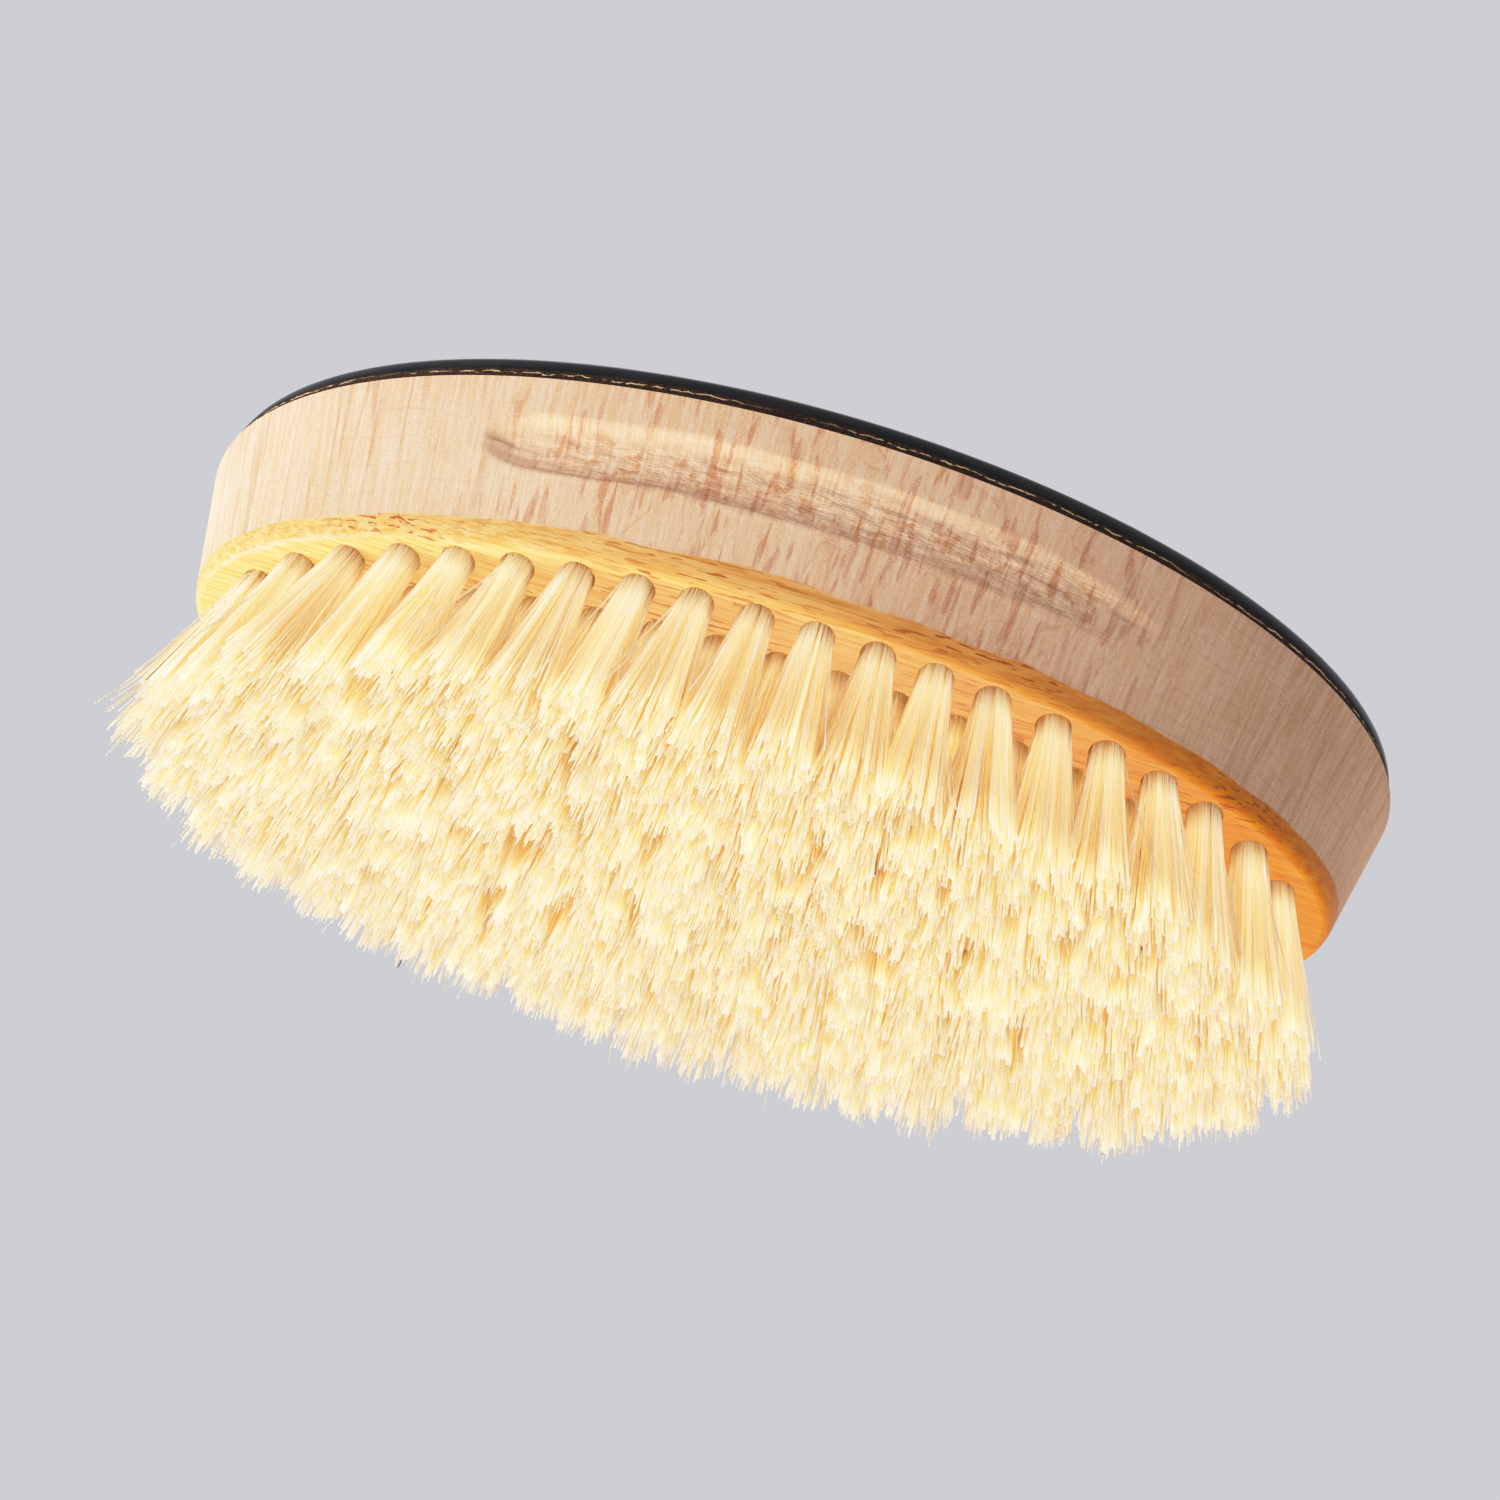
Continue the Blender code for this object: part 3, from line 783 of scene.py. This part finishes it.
def bristle():
    """Cream bristle that scatters light inside it and lets some through."""
    s = Surface("bristle")
    base = bristle_colour(s)
    s.colour(base)
    s.set(Roughness=0.38, Specular_IOR_Level=0.4)
    s.set(Subsurface_Weight=1.0, Subsurface_Radius=(1.0, 0.8, 0.55), Subsurface_Scale=1.6 * MM)
    s.shader.subsurface_method = "BURLEY"
    glow = s.tree.nodes.new("ShaderNodeBsdfTranslucent")
    s.link(s.mix(0.5, base, (0.99, 0.82, 0.46)), glow.inputs["Color"])
    blend = s.tree.nodes.new("ShaderNodeMixShader")
    blend.inputs["Fac"].default_value = 0.3
    s.link(s.shader.outputs["BSDF"], blend.inputs[1])
    s.link(glow.outputs["BSDF"], blend.inputs[2])
    s.link(blend.outputs["Shader"], s.tree.nodes["Material Output"].inputs["Surface"])
    return s.material


def brass():
    """Drawn wire, dulled in patches."""
    s = Surface("brass")
    tarnish = s.noise((0.5, 0.5, 2.0), detail=3)
    s.colour(s.mix(s.fade(tarnish, 0.4, 0.7), (0.72, 0.50, 0.20), (0.32, 0.19, 0.07)))
    s.roughness(s.ramp(tarnish, (0.3, 0.28), (0.8, 0.5)))
    s.set(Metallic=1.0)
    return s.material


# ---- Stage ----

FLOOR_Z = -0.45
FLOOR_HALF = 6.0
FLOOR_CORNERS = ((-1, -1), (1, -1), (1, 1), (-1, 1))
PALE = (0.685, 0.70, 0.755)

# Tone curve: straight up to the shoulder, then rolling off toward white at the brightest level.
BRIGHTEST = 3.0
SHOULDER = 0.35
SHOULDER_STEPS = (0.6, 0.9, 1.35, 1.95)

# Camera, in radians, seen from the middle of the underside.
CAMERA_LENS = 40.8
CAMERA_AZIMUTH = 0.057
CAMERA_ELEVATION = -0.81
CAMERA_ROLL = 0.335
CAMERA_DISTANCE = 162.5 * MM
CAMERA_TIP = 0.014

# Each light: its place and its width in metres, its power in watts, and its colour.
WHITE = (1.0, 1.0, 1.0)
KEY_PLACE = (-0.45, -0.05, -0.25)
LIGHTS = {
    "low_fill": ((0.05, 0.10, -0.5), 0.3, 1.0, WHITE),
    "top": ((-0.1, 0.15, 0.5), 0.5, 0.6, WHITE),
    "key": (KEY_PLACE, 0.25, 7.5, WHITE),
    "soft_key": (KEY_PLACE, 0.5, 3.9, WHITE),
    "tuft_front": ((0.10, -0.46, -0.12), 0.25, 1.1, WHITE),
    "wood_glow": ((0.0, 0.24, -0.43), 0.3, 5.0, (1.0, 0.84, 0.58)),
    "bristle_glow": ((0.0, -0.20, -0.45), 0.3, 1.9, (1.0, 0.77, 0.44)),
}
LIGHT_TARGET = (0.0, 0.0, 0.02)


def add_camera():
    """In front of and below the brush, close to it, and turned so that it slopes down to the right."""
    a, e = CAMERA_AZIMUTH, CAMERA_ELEVATION
    back = Vector((math.sin(a) * math.cos(e), -math.cos(a) * math.cos(e), math.sin(e)))
    side = Vector((0, 0, 1)).cross(back).normalized()
    up = back.cross(side)
    turn = Matrix((side, up, back)).transposed()
    turn = turn @ Matrix.Rotation(CAMERA_ROLL, 3, "Z") @ Matrix.Rotation(CAMERA_TIP, 3, "X")
    data = bpy.data.cameras.new("camera")
    data.lens = CAMERA_LENS
    data.sensor_width = 36.0
    data.clip_start = 0.005
    place = Vector((0, 0, UNDERSIDE_Z)) + back * CAMERA_DISTANCE
    camera = bpy.data.objects.new("camera", data)
    camera.matrix_world = Matrix.Translation(place) @ turn.to_4x4()
    bpy.context.scene.collection.objects.link(camera)
    bpy.context.scene.camera = camera


def add_light(name):
    place, size, power, colour = LIGHTS[name]
    data = bpy.data.lights.new(name, "AREA")
    data.shape = "DISK"
    data.size = size
    data.energy = power
    data.color = colour
    light = bpy.data.objects.new(name, data)
    light.location = place
    light.rotation_mode = "QUATERNION"
    light.rotation_quaternion = (Vector(LIGHT_TARGET) - Vector(place)).to_track_quat("-Z", "Y")
    light.visible_camera = False
    bpy.context.scene.collection.objects.link(light)
    return light


def light_only(pieces, name, shadows):
    """Adds a light that falls on these pieces alone. Without shadows it also gets in between bristles."""
    light = add_light(name)
    light.data.use_shadow = shadows
    lit = bpy.data.collections.new(name)
    for piece in pieces:
        lit.objects.link(piece)
    light.light_linking.receiver_collection = lit


def add_floor():
    corners = [(side_x * FLOOR_HALF, side_y * FLOOR_HALF, FLOOR_Z) for side_x, side_y in FLOOR_CORNERS]
    floor = add_mesh("floor", corners, [(0, 1, 2, 3)])
    s = Surface("pale_floor")
    darker = tuple(value * 0.97 for value in PALE)
    s.colour(s.mix(s.noise((0.004, 0.004, 0.004), detail=2), PALE, darker))
    s.set(Roughness=0.9)
    floor.data.materials.append(s.material)


def add_studio():
    world = bpy.data.worlds.new("studio")
    world.use_nodes = True
    background = world.node_tree.nodes["Background"]
    background.inputs["Color"].default_value = (*PALE, 1.0)
    background.inputs["Strength"].default_value = 1.0
    bpy.context.scene.world = world
    add_light("low_fill")
    add_light("top")


def rolled_off(level):
    """Where the tone curve puts a level above the shoulder."""
    room = 1 - SHOULDER
    return SHOULDER + room * (1 - math.exp((SHOULDER - level) / room))


def soften_highlights():
    """Leaves dark and middle tones as they are and rolls the highlights off, as a camera does."""
    settings = bpy.context.scene.view_settings
    settings.view_transform = "Standard"
    settings.use_curve_mapping = True
    mapping = settings.curve_mapping
    mapping.white_level = (BRIGHTEST,) * 3
    curve = mapping.curves[3]
    curve.points[0].location = (0.0, 0.0)
    curve.points[1].location = (1.0, rolled_off(BRIGHTEST))
    curve.points.new(SHOULDER / BRIGHTEST, SHOULDER)
    for level in SHOULDER_STEPS:
        curve.points.new(level / BRIGHTEST, rolled_off(level))
    mapping.update()


def polish_wires(surface):
    """The CAD wires stay as they are and get their metal."""
    for name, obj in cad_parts.items():
        if name.startswith("draw_wire"):
            obj.data.materials.clear()
            obj.data.materials.append(surface)


def main():
    runs = tuft_places()
    add_camera()
    add_floor()
    add_studio()
    stock = add_stock([place for places in runs.values() for place in places], beech())
    seam = add_seam(rough_seam())
    back = add_back(black_horn())
    hair = bristle()
    tufts = [add_bristles(run, number, places, hair) for number, (run, places) in enumerate(runs.items())]
    light_only([stock, seam, back], "key", shadows=True)
    light_only(tufts, "soft_key", shadows=True)
    light_only(tufts, "tuft_front", shadows=True)
    light_only([stock], "wood_glow", shadows=False)
    light_only(tufts, "bristle_glow", shadows=False)
    polish_wires(brass())
    soften_highlights()


main()
